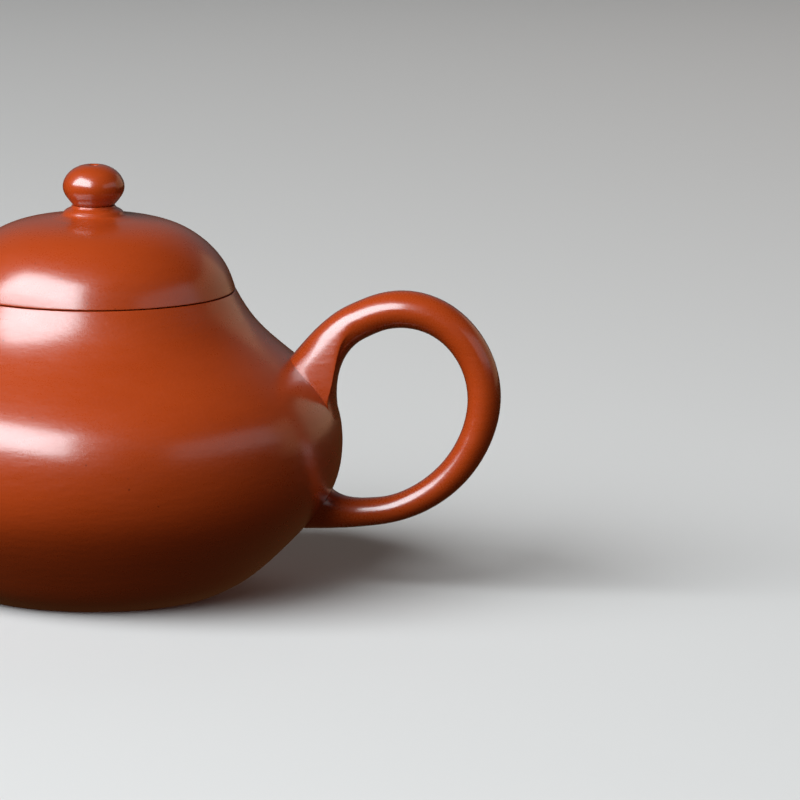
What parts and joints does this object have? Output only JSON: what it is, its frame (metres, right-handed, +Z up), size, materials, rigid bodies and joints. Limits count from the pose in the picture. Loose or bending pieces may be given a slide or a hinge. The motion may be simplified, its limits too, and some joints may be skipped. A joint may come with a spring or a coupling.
{
  "type": "clay teapot",
  "caption": "Small pear-shaped unglazed red clay teapot with a ring handle, a curved tapering spout, and a flush domed lid with a flattened ball knob and vent hole.",
  "frame": {"origin": "centre of the flat base, on the surface that the pot stands on", "axes": "+Z up along the pot's axis, +X towards the handle, -X towards the spout"},
  "size_m": [0.1195, 0.076, 0.065],
  "materials": {
    "body_clay": "burnished unglazed zhuni clay, satin",
    "lid_clay": "burnished unglazed zhuni clay, satin",
    "inner_clay": "unburnished unglazed zhuni clay, matt"
  },
  "bodies": {
    "pot": {"body_wall": "body_clay", "base_disc": "body_clay", "mouth_ring": "body_clay", "spout": "body_clay", "strainer": "inner_clay", "handle": "body_clay"},
    "lid": {"lid_dome": "lid_clay", "lid_flange": "inner_clay", "knob_seat": "lid_clay", "knob": "lid_clay"}
  },
  "joints": [
    {"name": "lid_lift", "type": "slide", "parent": "pot", "child": "lid", "axis": [0, 0, 1], "range_m": [0, 0.03]}
  ]
}
